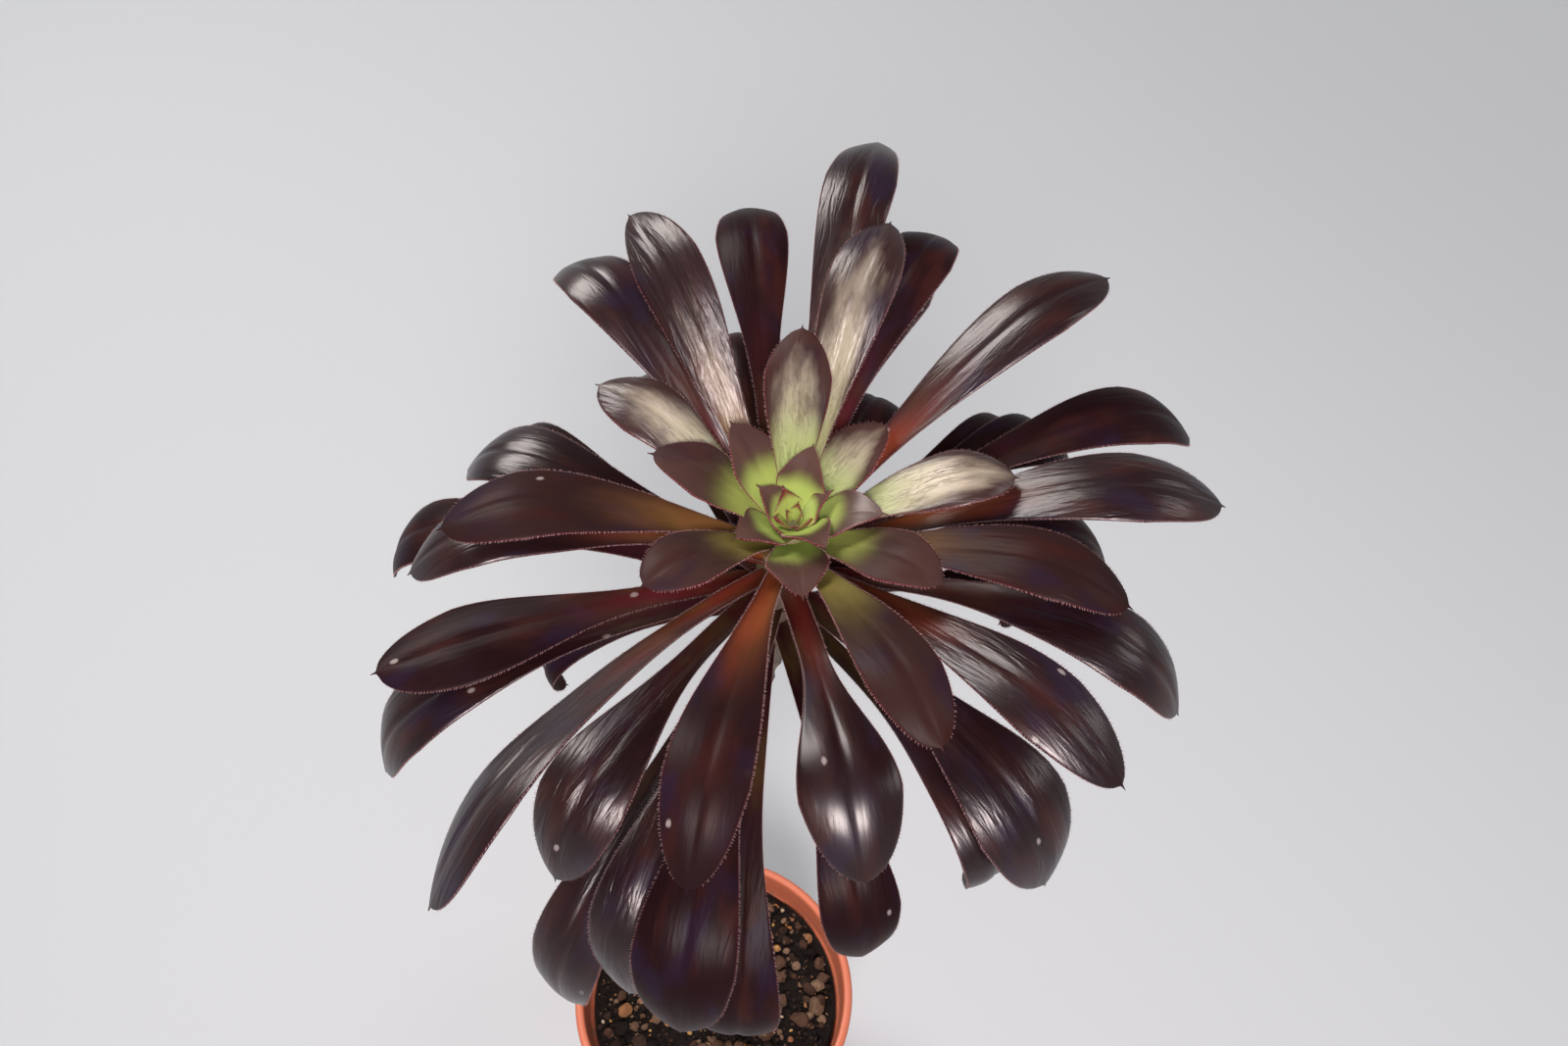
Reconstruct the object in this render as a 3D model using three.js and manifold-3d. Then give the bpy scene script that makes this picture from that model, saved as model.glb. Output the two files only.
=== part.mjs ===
import * as THREE from "three";
import { mergeVertices } from "three/addons/utils/BufferGeometryUtils.js";
import Module from "manifold-3d";

// A dark-leaved aeonium in a round plastic pot, in millimetres, +Z up.
// The origin is the middle of the pot's underside. -Y is the side that the plant is mostly seen from.

const wasm = await Module();
wasm.setup();
const DEG = Math.PI / 180;

// Driving dimensions

const GAP = 0.3; // between pieces that touch
const POT_HEIGHT = 105;
const POT_RIM_RADIUS = 60;
const POT_BASE_RADIUS = 41;
const POT_WALL = 1.6;
const POT_SIDES = 40;
const RIM_BAND_HEIGHT = 17;
const FLOOR_THICKNESS = 2.4;
const SOIL_BELOW_RIM = 13;
const ROOT_DEPTH = 42;
const GOLDEN_ANGLE = 137.5;
const HEART_LEAVES = 12; // the youngest leaves, grown together in one bud
const SOIL_TOP = POT_HEIGHT - SOIL_BELOW_RIM;

// Colours, as the photograph shows them

const finish = (color, roughness) =>
  new THREE.MeshStandardMaterial({ color, roughness, metalness: 0 });
const materials = {
  pot: finish(0xb8603f, 0.5),
  soil: finish(0x2c211a, 0.95),
  stem: finish(0x6b5a48, 0.8),
  heart: finish(0x7da23c, 0.4),
  youngLeaf: finish(0x5a4a35, 0.4),
  leaf: finish(0x2c171c, 0.35),
};

// Helpers for closed meshes

function gridGeometry(rings) {
  const count = rings[0].length;
  const positions = rings.flat().flatMap((p) => [p.x, p.y, p.z]);
  const index = [];
  for (let i = 0; i + 1 < rings.length; i++) {
    for (let j = 0; j < count; j++) {
      const k = (j + 1) % count;
      const [a, b] = [i * count + j, i * count + k];
      const [c, d] = [a + count, b + count];
      index.push(a, b, d, a, d, c);
    }
  }
  const last = (rings.length - 1) * count;
  for (let j = 1; j + 1 < count; j++) {
    index.push(0, j + 1, j);
    index.push(last, last + j, last + j + 1);
  }
  const geometry = new THREE.BufferGeometry();
  geometry.setAttribute("position", new THREE.Float32BufferAttribute(positions, 3));
  geometry.setIndex(index);
  return geometry;
}

function solidOf(geometry) {
  const bare = geometry.clone();
  bare.deleteAttribute("normal");
  bare.deleteAttribute("uv");
  const merged = mergeVertices(bare, 1e-4);
  const vertProperties = new Float32Array(merged.attributes.position.array);
  const triVerts = new Uint32Array(merged.index.array);
  return new wasm.Manifold(new wasm.Mesh({ numProp: 3, vertProperties, triVerts }));
}

function geometryOf(solid) {
  const mesh = solid.getMesh();
  const geometry = new THREE.BufferGeometry();
  const positions = [];
  for (let i = 0; i < mesh.numVert; i++) {
    positions.push(...mesh.vertProperties.slice(i * mesh.numProp, i * mesh.numProp + 3));
  }
  geometry.setAttribute("position", new THREE.Float32BufferAttribute(positions, 3));
  geometry.setIndex(Array.from(mesh.triVerts));
  return geometry;
}

const largestBody = (solid) =>
  solid.decompose().reduce((a, b) => (b.volume() > a.volume() ? b : a));

const joined = (solids) => solids.reduce((a, b) => a.add(b));

const smooth = (from, to, x) => {
  const t = Math.min(1, Math.max(0, (x - from) / (to - from)));
  return t * t * (3 - 2 * t);
};

const mix = (a, b, t) => a + (b - a) * t;

// A repeatable random number from 0 to 1

function seeded(seed) {
  let state = seed;
  return () => {
    state = (state * 1664525 + 1013904223) % 4294967296;
    return state / 4294967296;
  };
}

// Stem: a bare leaning trunk with the scars of fallen leaves, and a thicker crown that the leaves grow from

const stemLine = new THREE.CatmullRomCurve3([
  new THREE.Vector3(-1, -1, SOIL_TOP - ROOT_DEPTH),
  new THREE.Vector3(0, 0, SOIL_TOP + 10),
  new THREE.Vector3(4, 2, 190),
  new THREE.Vector3(9, 6, 270),
  new THREE.Vector3(17, 13, 340),
  new THREE.Vector3(28, 21, 392),
  new THREE.Vector3(33, 24.4, 423),
]);
const STEM_LENGTH = stemLine.getLength();
const CROWN_LENGTH = 50;
const CROWN_RADIUS = 7.2;
const TIP_RADIUS = 1.6;
const TRUNK_RADII = [5.6, 7.4]; // below the crown and at the soil
const SCAR_HEIGHT = 0.7;
const SCAR_SPACING = 6.6;
const STEM_SIDES = 10;
const STEM_STEPS = 56;

function stemRadius(fromTop) {
  const trunk = mix(...TRUNK_RADII, smooth(CROWN_LENGTH + 10, STEM_LENGTH, fromTop));
  const crown = mix(TIP_RADIUS, CROWN_RADIUS, Math.sqrt(smooth(-9, CROWN_LENGTH / 2, fromTop)));
  return mix(crown, trunk, smooth(CROWN_LENGTH / 2, CROWN_LENGTH + 40, fromTop));
}

function scarRelief(fromTop, side) {
  if (fromTop < CROWN_LENGTH) return 0;
  const row = Math.round(fromTop / SCAR_SPACING);
  return (row + side * 3) % 5 === 0 ? SCAR_HEIGHT : 0;
}

function stemFrame(along) {
  const centre = stemLine.getPointAt(along);
  const up = stemLine.getTangentAt(along);
  const right = new THREE.Vector3(1, 0, 0).addScaledVector(up, -up.x).normalize();
  const back = new THREE.Vector3().crossVectors(up, right);
  return { centre, up, right, back };
}

function stemGeometry(grown) {
  const rings = [];
  for (let i = 0; i <= STEM_STEPS; i++) {
    const along = i / STEM_STEPS;
    const { centre, right, back } = stemFrame(along);
    const fromTop = (1 - along) * STEM_LENGTH;
    const ring = [];
    for (let j = 0; j < STEM_SIDES; j++) {
      const angle = (j / STEM_SIDES) * 2 * Math.PI;
      const radius = stemRadius(fromTop) + scarRelief(fromTop, j) + grown;
      ring.push(
        centre
          .clone()
          .addScaledVector(right, radius * Math.cos(angle))
          .addScaledVector(back, radius * Math.sin(angle)),
      );
    }
    rings.push(ring);
  }
  return gridGeometry(rings);
}

// Leaves. Number 1 is the youngest. Each stands a golden angle on from the one before and lower down the
// crown. With age a leaf grows longer, sinks and arches over. Its slope is that of the line from root to tip.

const FIRST_AZIMUTH = 233;
const LEAF_COUNT = 63;
const OLDEST_LEAF = 71; // the others below leaf 63 have fallen
const NOD = 10; // the whole rosette faces a little to the front
const CURL_START = 0.62; // where along the blade the tip begins to curl under

const leafDrop = (number) => 1.5 + 0.2 * number + 0.45 * Math.max(0, number - 10);
const leafLength = (number) => 5 + 117 * Math.pow(Math.min(1, number / 31), 1.9);
const leafWidth = (number) => 21 * (1 - Math.exp(-number / 12));
const leafSlope = (number) => 60 - 1.25 * number + 0.6 * Math.max(0, 12 - number);
const leafWaist = (number) => mix(0.1, 0.3, smooth(26, 42, number)); // where the slender root ends
const leafArch = (number) => 8 + 0.7 * number;
const leafCurl = (number) => 75 * (1 - Math.exp(-number / 24));

// What single leaves do differently, in degrees and millimetres

const leafHabits = {
  8: { longer: -3 },
  9: { turn: -15 },
  10: { turn: -16, longer: -3 },
  11: { turn: -10, lift: 6, longer: 4 },
  12: { turn: -15 },
  13: { turn: -3, lift: 2, longer: -5 },
  14: { turn: -14 },
  15: { turn: -7, lift: -4 },
  16: { turn: 3, longer: -6 },
  17: { turn: -12, lift: -8, longer: -2 },
  18: { turn: -19, lift: 1 },
  19: { turn: -3, lift: -2, longer: 2 },
  20: { turn: -18, longer: 3 },
  21: { turn: -20, lift: 4, longer: -6 },
  22: { turn: -16, lift: -6 },
  23: { turn: -5, lift: -4, longer: -3 },
  24: { turn: 2, longer: 12 },
  25: { turn: -2, lift: -3, longer: 13 },
  26: { turn: -14, lift: 1, longer: 9, wider: 2 },
  27: { turn: -9, lift: -3, longer: 3 },
  28: { turn: -4, lift: -3, arch: -4, curl: -12, longer: 2, roll: -28 },
  29: { turn: -2, curl: 12, longer: 9 },
  30: { turn: -4, lift: -3, arch: -3, curl: -12, longer: 2 },
  31: { turn: 16, lift: -6, arch: 4, curl: 8, longer: -15 },
  32: { turn: 2, arch: -3, curl: -10, longer: -8 },
  33: { turn: -14, lift: -6, curl: -5, longer: 12 },
  34: { turn: 5, lift: -1, curl: 5, longer: 18, roll: 36 },
  35: { turn: -6, lift: -1, arch: -3, curl: -12, longer: -2, wider: 2 },
  36: { turn: -13, arch: 2, curl: 9, longer: -7 },
  37: { turn: 1, lift: 4, longer: -18, wider: 4, waist: 0.12 },
  38: { turn: 5, lift: -3, longer: -3 },
  39: { turn: 4, lift: -2, arch: -18, curl: -50, longer: -16, wider: 4 },
  40: { turn: 1, lift: -1, arch: 2, curl: 10, longer: 2 },
  41: { turn: -15, lift: -1, curl: -9 },
  42: { turn: -10, arch: 2, curl: 8, longer: -8, wider: 2 },
  43: { turn: -9, longer: 10 },
  44: { turn: -1, longer: -20 },
  45: { turn: 8, lift: -2, arch: 3, curl: 8, longer: -1, wider: 6 },
  46: { turn: -12, longer: -8 },
  47: { turn: -13, lift: -10, arch: -4, longer: 8 },
  48: { turn: 11, longer: -20 },
  49: { turn: -6, longer: -34 },
  50: { turn: -10, lift: -3, curl: 6, longer: 12, wider: 5 },
  51: { turn: -16, lift: -4, longer: -11 },
  52: { turn: -9, longer: 2 },
  53: { turn: -16, lift: -4, curl: 50, wider: -3 },
  54: { turn: -1, lift: 2, longer: -22 },
  55: { turn: 15, lift: 5, longer: 4, wider: 3 },
  56: { turn: 22, longer: -14 },
  57: { turn: -2, longer: -8 },
  58: { turn: -3, longer: -10 },
  59: { longer: -30 },
  60: { turn: -6, curl: 35, longer: -40, wider: -8 },
  61: { turn: 22, curl: 25, longer: -36, wider: -7 },
  62: { longer: -30 },
  63: { turn: -16, lift: 1, curl: -8, longer: 14 },
  71: { turn: -10, lift: 2, longer: 14, wider: 2 },
};

// Half width along the blade, as a share of the widest: a slender root, a spoon-shaped end and a small point

function leafOutline(t, youth, waist) {
  const widest = mix(0.8, 0.58, youth);
  const root = mix(0.27, 0.5, youth);
  if (t < widest) {
    const rise = smooth(waist * (1 - youth), widest, t);
    return root + (1 - root) * Math.pow(rise, mix(1.5, 0.8, youth));
  }
  const run = (t - widest) / (1 - widest);
  const round = Math.sqrt(Math.max(0, 1 - Math.pow(run, mix(2.6, 2, youth))));
  const taper = 1 - run;
  return mix(round, taper, mix(0.26, 0.8, youth));
}

// Cupping across the blade, in radians each side: up like a trough at the root, down like a spoon's back at the end

function leafCup(t, youth) {
  const cup = mix(mix(0.75, -0.42, smooth(0.05, 0.85, t)), mix(0.5, 0.42, t), youth);
  return Math.abs(cup) < 0.01 ? 0.01 : cup;
}

const leafThickness = (t) => mix(mix(2.6, 1.8, smooth(0, 0.4, t)), 1.3, smooth(0.6, 1, t));

function leafShape(number) {
  const { turn = 0, lift = 0, arch = 0, curl = 0, longer = 0, wider = 0, roll = 0, waist = 0 } =
    leafHabits[number] ?? {};
  const azimuth = FIRST_AZIMUTH + number * GOLDEN_ANGLE + turn;
  const bend = { arch: leafArch(number) + arch, curl: leafCurl(number) + curl };
  const slope = leafSlope(number) + NOD * Math.sin(azimuth * DEG) + lift;
  return {
    azimuth,
    roll,
    ...bend,
    pitch: slope + 0.5 * bend.arch + 0.5 * (1 - CURL_START) * bend.curl,
    length: leafLength(number) + longer,
    width: leafWidth(number) + wider,
    youth: 1 - smooth(8, 24, number),
    waist: leafWaist(number) + waist,
    drop: leafDrop(number),
  };
}

// The midline of a leaf with its frame at each station

function leafFrames(leaf, stations) {
  const along = 1 - leaf.drop / STEM_LENGTH;
  const root = stemFrame(along).centre.clone();
  const frames = [];
  const point = root;
  let before = 0;
  for (const t of stations) {
    const steps = 6;
    for (let i = 0; i < steps; i++) {
      const s = before + ((i + 0.5) / steps) * (t - before);
      point.addScaledVector(leafAxes(leaf, s).ahead, ((t - before) / steps) * leaf.length);
    }
    before = t;
    frames.push({ t, centre: point.clone(), ...leafAxes(leaf, t) });
  }
  return frames;
}

function leafAxes(leaf, t) {
  const pitch = (leaf.pitch - leaf.arch * t - leaf.curl * smooth(CURL_START, 1, t)) * DEG;
  const heading = leaf.azimuth * DEG;
  const roll = leaf.roll * smooth(0, 0.7, t) * DEG;
  const ahead = new THREE.Vector3(
    Math.cos(pitch) * Math.cos(heading),
    Math.cos(pitch) * Math.sin(heading),
    Math.sin(pitch),
  );
  const level = new THREE.Vector3(-Math.sin(heading), Math.cos(heading), 0);
  const above = new THREE.Vector3().crossVectors(ahead, level);
  const side = level
    .clone()
    .multiplyScalar(Math.cos(roll))
    .addScaledVector(above, Math.sin(roll));
  return { ahead, side, up: new THREE.Vector3().crossVectors(ahead, side) };
}

// One closed ring round the blade: five points across the top and three across the underside

const ACROSS_TOP = [-1, -0.5, 0, 0.5, 1];
const ACROSS_UNDERSIDE = [0.96, 0, -0.96];
const EDGE_THICKNESS = 0.7;

function leafRing(leaf, frame, grown) {
  const { t, centre, side, up } = frame;
  const half = Math.max(0.35, (leaf.width / 2) * leafOutline(t, leaf.youth, leaf.waist)) + grown;
  const cup = leafCup(t, leaf.youth);
  const thickness = Math.min(leafThickness(t), half * 1.1 + 0.3);
  const groove = 0.05 * half * (1 - leaf.youth);
  const place = (u, below) => {
    const across = (half * Math.sin(cup * u)) / cup;
    const rise = (half * (1 - Math.cos(cup * u))) / cup;
    const dip = u === 0 && !below ? groove : 0;
    const depth = below ? Math.max(EDGE_THICKNESS, thickness * (1 - u * u)) : 0;
    return centre
      .clone()
      .addScaledVector(side, across)
      .addScaledVector(up, rise - dip - depth + (below ? -grown : grown));
  };
  return [
    ...ACROSS_TOP.map((u) => place(u, false)),
    ...ACROSS_UNDERSIDE.map((u) => place(u, true)),
  ];
}

const LEAF_STATIONS = [0, 0.15, 0.33, 0.52, 0.68, 0.8, 0.9, 0.97, 1];
const HEART_STATIONS = [0, 0.3, 0.62, 0.88, 1];

function leafSolid(number, stations, grown = 0) {
  const leaf = leafShape(number);
  const frames = leafFrames(leaf, stations);
  const tip = frames[frames.length - 1];
  tip.centre.addScaledVector(tip.ahead, grown);
  return solidOf(gridGeometry(frames.map((frame) => leafRing(leaf, frame, grown).reverse())));
}

// Pot: a tapered plastic shell with a rim band, a rolled lip, a footed underside and drain holes

const potInnerRadius = (z) =>
  mix(POT_BASE_RADIUS, POT_RIM_RADIUS - 5, z / (POT_HEIGHT - RIM_BAND_HEIGHT)) - POT_WALL;

function potSolid() {
  const bandBottom = POT_HEIGHT - RIM_BAND_HEIGHT;
  const bandRadius = POT_RIM_RADIUS - 3;
  const recess = 1.6;
  const outline = [
    [0, 0],
    [13, 0],
    [14.5, recess],
    [33, recess],
    [34.5, 0],
    [POT_BASE_RADIUS - 1.5, 0],
    [POT_BASE_RADIUS, 1.5],
    [POT_RIM_RADIUS - 5, bandBottom - 0.5],
    [bandRadius - 0.4, bandBottom + 0.6],
    [bandRadius + 0.5, POT_HEIGHT - 4.4],
    [POT_RIM_RADIUS - 0.8, POT_HEIGHT - 3.6],
    [POT_RIM_RADIUS, POT_HEIGHT - 2],
    [POT_RIM_RADIUS - 0.8, POT_HEIGHT - 0.5],
    [POT_RIM_RADIUS - 2.2, POT_HEIGHT],
    [POT_RIM_RADIUS - 3.8, POT_HEIGHT - 0.6],
    [bandRadius + 0.4 - POT_WALL, POT_HEIGHT - 3],
    [bandRadius - 0.6 - POT_WALL, bandBottom + 2.4],
    [potInnerRadius(bandBottom) - 0.2, bandBottom + 0.4],
    [potInnerRadius(recess + FLOOR_THICKNESS), recess + FLOOR_THICKNESS],
    [0, recess + FLOOR_THICKNESS],
  ].map(([r, z]) => new THREE.Vector2(r, z));
  const shell = new THREE.LatheGeometry(outline, POT_SIDES).rotateX(Math.PI / 2);
  const holes = [];
  const holeCount = 6;
  for (let i = 0; i < holeCount; i++) {
    const angle = (i / holeCount) * 2 * Math.PI;
    const hole = new THREE.CylinderGeometry(4, 4, 12, 12).rotateX(Math.PI / 2);
    hole.translate(24 * Math.cos(angle), 24 * Math.sin(angle), 2);
    holes.push(solidOf(hole));
  }
  return solidOf(shell).subtract(joined(holes));
}

// Soil: gritty mix with an uneven top, lava and pumice lumps in it, and a plain hole for the stem

function soilHeight(x, y) {
  const swell = 1.1 * Math.sin(x / 13 + 1.7) * Math.cos(y / 11) + 0.5 * Math.sin(x / 5 - y / 6);
  const heap = 2.2 * Math.exp(-(x * x + y * y) / 300);
  return SOIL_TOP + swell + heap;
}

function soilGeometry() {
  const sides = 36;
  const floor = 1.6 + FLOOR_THICKNESS + GAP;
  const rings = [];
  const ringAt = (radius, height) =>
    rings.push(
      Array.from({ length: sides }, (_, j) => {
        const angle = (j / sides) * 2 * Math.PI;
        const [x, y] = [radius * Math.cos(angle), radius * Math.sin(angle)];
        return new THREE.Vector3(x, y, height ?? soilHeight(x, y));
      }),
    );
  const bandBottom = POT_HEIGHT - RIM_BAND_HEIGHT;
  ringAt(1, floor);
  ringAt(potInnerRadius(floor) - 0.5, floor);
  ringAt(potInnerRadius(bandBottom) - 0.7, bandBottom);
  const edge = potInnerRadius(bandBottom) - 0.7;
  for (const share of [1, 0.82, 0.64, 0.46, 0.28, 0.02]) ringAt(edge * share);
  return gridGeometry(rings);
}

const LUMP_COUNT = 26;

function lumpSolids() {
  const random = seeded(7);
  const lumps = [];
  for (let i = 0; i < LUMP_COUNT; i++) {
    const reach = 11 + 37 * Math.sqrt((i + 0.5) / LUMP_COUNT);
    const angle = i * GOLDEN_ANGLE * DEG;
    const size = mix(2.6, 5.4, random() ** 2);
    const [x, y] = [reach * Math.cos(angle), reach * Math.sin(angle)];
    const lump = new THREE.IcosahedronGeometry(size, 0);
    lump.scale(1, mix(0.7, 1, random()), mix(0.6, 0.85, random()));
    lump.rotateX(random() * 0.6).rotateZ(random() * Math.PI);
    const inward = Math.min(1, (potInnerRadius(SOIL_TOP - 5) - 1.5 - size) / reach);
    lump.translate(x * inward, y * inward, soilHeight(x, y) + 0.25 * size);
    lumps.push(solidOf(lump));
  }
  return lumps;
}

// Assembly

const group = new THREE.Group();
group.name = "potted_aeonium";

function addPiece(name, solid, material) {
  const mesh = new THREE.Mesh(geometryOf(solid), material);
  mesh.name = name;
  group.add(mesh);
}

const stem = solidOf(stemGeometry(0));
const stemRoom = solidOf(stemGeometry(GAP));
const heartLeaves = (grown) =>
  joined(Array.from({ length: HEART_LEAVES }, (_, i) => leafSolid(i + 1, HEART_STATIONS, grown)));

addPiece("pot", potSolid(), materials.pot);
addPiece("soil", joined([solidOf(soilGeometry()), ...lumpSolids()]).subtract(stemRoom), materials.soil);
addPiece("stem", stem, materials.stem);
addPiece("rosette_heart", largestBody(heartLeaves(0).subtract(stemRoom)), materials.heart);

// Where crowded leaves meet, the younger one presses its shape into the older one below it

const taken = [stemRoom, heartLeaves(GAP)];
for (let number = HEART_LEAVES + 1; number <= OLDEST_LEAF; number++) {
  if (number > LEAF_COUNT && number < OLDEST_LEAF) continue;
  const name = "leaf_" + String(number).padStart(2, "0");
  const material = number < 20 ? materials.youngLeaf : materials.leaf;
  const leaf = taken.reduce((left, room) => left.subtract(room), leafSolid(number, LEAF_STATIONS));
  addPiece(name, largestBody(leaf), material);
  taken.push(leafSolid(number, LEAF_STATIONS, GAP));
}

export default group;
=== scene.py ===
import math

import bmesh
import bpy
import numpy as np
from mathutils import Euler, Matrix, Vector, noise
from mathutils.bvhtree import BVHTree


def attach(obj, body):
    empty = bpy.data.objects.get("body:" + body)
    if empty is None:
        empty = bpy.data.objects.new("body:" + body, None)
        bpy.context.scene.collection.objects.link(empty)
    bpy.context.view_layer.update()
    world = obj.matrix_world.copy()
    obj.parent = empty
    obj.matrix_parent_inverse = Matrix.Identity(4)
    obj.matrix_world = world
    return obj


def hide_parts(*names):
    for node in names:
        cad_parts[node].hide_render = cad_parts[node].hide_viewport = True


# Potted aeonium: the fine leaves, pot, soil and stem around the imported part.
# Shapes are worked out in millimetres and made into meshes in metres.

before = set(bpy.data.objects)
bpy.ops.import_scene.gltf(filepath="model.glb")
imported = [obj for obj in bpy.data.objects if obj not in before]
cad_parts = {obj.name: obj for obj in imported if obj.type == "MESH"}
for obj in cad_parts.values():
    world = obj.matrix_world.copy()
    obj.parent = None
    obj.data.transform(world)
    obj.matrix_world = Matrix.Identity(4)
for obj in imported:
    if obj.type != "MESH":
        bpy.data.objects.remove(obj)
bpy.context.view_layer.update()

fullTurn = 2 * math.pi
millimetre = 0.001  # in metres


# small sums

def smooth(low, high, x):
    t = np.clip((np.asarray(x, float) - low) / (high - low), 0, 1)
    return t * t * (3 - 2 * t)


def mix(a, b, t):
    return a + (b - a) * t


def unit(v):
    return v / np.linalg.norm(v, axis=-1, keepdims=True)


# shader sums: a Wire is a socket, and sums on it add Math nodes

class Wire:
    def __init__(self, finish, socket):
        self.finish, self.socket = finish, socket

    def sum(self, operation, a, b=0.0, clamp=False):
        settings = {"operation": operation, "use_clamp": clamp}
        return self.finish.node("Math", settings, {0: a, 1: b})

    def __add__(self, other): return self.sum("ADD", self, other)
    def __radd__(self, other): return self.sum("ADD", other, self)
    def __sub__(self, other): return self.sum("SUBTRACT", self, other)
    def __rsub__(self, other): return self.sum("SUBTRACT", other, self)
    def __mul__(self, other): return self.sum("MULTIPLY", self, other)
    def __rmul__(self, other): return self.sum("MULTIPLY", other, self)
    def __pow__(self, other): return self.sum("POWER", self, other)
    def __rpow__(self, other): return self.sum("POWER", other, self)
    def clamped(self): return self.sum("ADD", self, 0.0, clamp=True)


class Finish:  # one material being made, or the sky
    def __init__(self, name, tree=None):
        if tree is None:
            self.material = bpy.data.materials.new(name)
            self.material.use_nodes = True
        self.tree = tree or self.material.node_tree
        self.tree.nodes.clear()

    def node(self, kind, settings=None, sockets=None, output=0):
        made = self.tree.nodes.new("ShaderNode" + kind)
        for key, value in (settings or {}).items():
            if key == "stops":
                self.setStops(made.color_ramp, value)
            else:
                setattr(made, key, value)
        for key, value in (sockets or {}).items():
            if isinstance(value, Wire):
                self.tree.links.new(value.socket, made.inputs[key])
            else:
                made.inputs[key].default_value = value
        return Wire(self, made.outputs[output]) if made.outputs else made

    def setStops(self, ramp, stops):
        while len(ramp.elements) > 1:
            ramp.elements.remove(ramp.elements[-1])
        for number, (place, colour) in enumerate(stops):
            stop = ramp.elements[0] if number == 0 else ramp.elements.new(place)
            stop.position, stop.color = place, (*colour, 1)

    def reading(self, name, output="Vector"):
        return self.node("Attribute", {"attribute_name": name}, output=output)

    def parts(self, wire):
        return [self.node("SeparateXYZ", {}, {0: wire}, output=i) for i in range(3)]

    def stretched(self, wire, scale):
        return self.node("VectorMath", {"operation": "MULTIPLY"}, {0: wire, 1: scale})

    def noise(self, wire, scale, detail=2.0, roughness=0.5, distortion=0.0):
        return self.node("TexNoise", {}, {
            "Vector": self.stretched(wire, scale), "Scale": 1.0, "Detail": detail,
            "Roughness": roughness, "Distortion": distortion})

    def rise(self, wire, low, high):
        return self.node("MapRange", {"interpolation_type": "SMOOTHSTEP"},
                         {"Value": wire, "From Min": low, "From Max": high})

    def mixed(self, share, a, b):
        a, b = ((*colour, 1) if isinstance(colour, tuple) else colour for colour in (a, b))
        return self.node("Mix", {"data_type": "RGBA"}, {0: share, 6: a, 7: b}, output=2)

    def ramp(self, wire, stops):
        return self.node("ValToRGB", {"stops": stops}, {0: wire})

    def bump(self, height, distance):
        return self.node("Bump", {}, {"Height": height, "Distance": distance})

    def surface(self, **sockets):
        named = {key.replace("_", " "): value for key, value in sockets.items()}
        shader = self.node("BsdfPrincipled", {}, named)
        self.node("OutputMaterial", {}, {"Surface": shader})
        return self.material


# meshes

def makePiece(name, points, faces, finishes, replaced,
              attributes=None, uvs=None, kinds=None):
    mesh = bpy.data.meshes.new(name)
    mesh.from_pydata((np.asarray(points) * millimetre).tolist(), [], faces)
    for finish in finishes:
        mesh.materials.append(finish)
    for key, values in (attributes or {}).items():
        kind, field = ("FLOAT_VECTOR", "vector") if np.ndim(values) == 2 else ("FLOAT", "value")
        mesh.attributes.new(key, kind, "POINT").data.foreach_set(field, np.ravel(values))
    if kinds is not None:
        mesh.polygons.foreach_set("material_index", kinds)
    if uvs is not None:
        mesh.uv_layers.new(name="OFBake").data.foreach_set("uv", np.ravel(uvs))
    mesh.shade_smooth()
    mesh.update()
    piece = bpy.data.objects.new(name, mesh)
    bpy.context.scene.collection.objects.link(piece)
    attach(piece, "root")
    if replaced:
        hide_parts(*replaced)
    return piece


def ringFaces(rings, count):  # the quads between rings of count points each, and the two ends
    faces, uvs = [], []
    for i in range(rings - 1):
        for j in range(count):
            a, b = i * count + j, i * count + (j + 1) % count
            faces.append((a, b, b + count, a + count))
            uvs += [(j, i), (j + 1, i), (j + 1, i + 1), (j, i + 1)]
    last = (rings - 1) * count
    faces.append(tuple(range(count - 1, -1, -1)))
    faces.append(tuple(range(last, last + count)))
    uvs += [(count - j, 0) for j in range(count)] + [(j, rings - 1) for j in range(count)]
    return faces, np.array(uvs, float) / (count, rings - 1)


def ringOf(radius, angles, height):  # level rings of points; radius and height may be columns
    x, y = radius * np.cos(angles), radius * np.sin(angles)
    return np.stack([x, y, height + 0 * angles], -1)


def anglesOf(count):  # evenly spaced round a full turn
    return np.linspace(0, fullTurn, count, endpoint=False)


# stem, along the same line as the part's own

stem = {
    "line": [(-1, -1, 50), (0, 0, 102), (4, 2, 190), (9, 6, 270), (17, 13, 340), (28, 21, 392),
             (33, 24.4, 423)],
    "crownLength": 50, "crownRadius": 7.2, "tipRadius": 1.6, "trunkRadii": (5.6, 7.4),
    "domeStart": -9, "trunkStart": 10, "crownFade": 40, "sides": 56, "steps": 420,
    "scarSpacing": 3.1, "scarWidth": 3.9, "scarHeight": 1.5, "scarRelief": 0.75, "scarDip": 0.35,
    "scarSlant": 0.25, "scarRim": 0.95, "scarRimWidth": 0.28, "grain": 0.18,
    "barkStops": [(0.3, (0.07, 0.048, 0.034)), (0.5, (0.16, 0.12, 0.085)),
                  (0.7, (0.26, 0.21, 0.155))],
    "scarColour": (0.30, 0.235, 0.17), "crackColour": (0.035, 0.023, 0.016),
    "greenTop": (0.17, 0.16, 0.06), "barkDepth": 0.0006,
}


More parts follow.
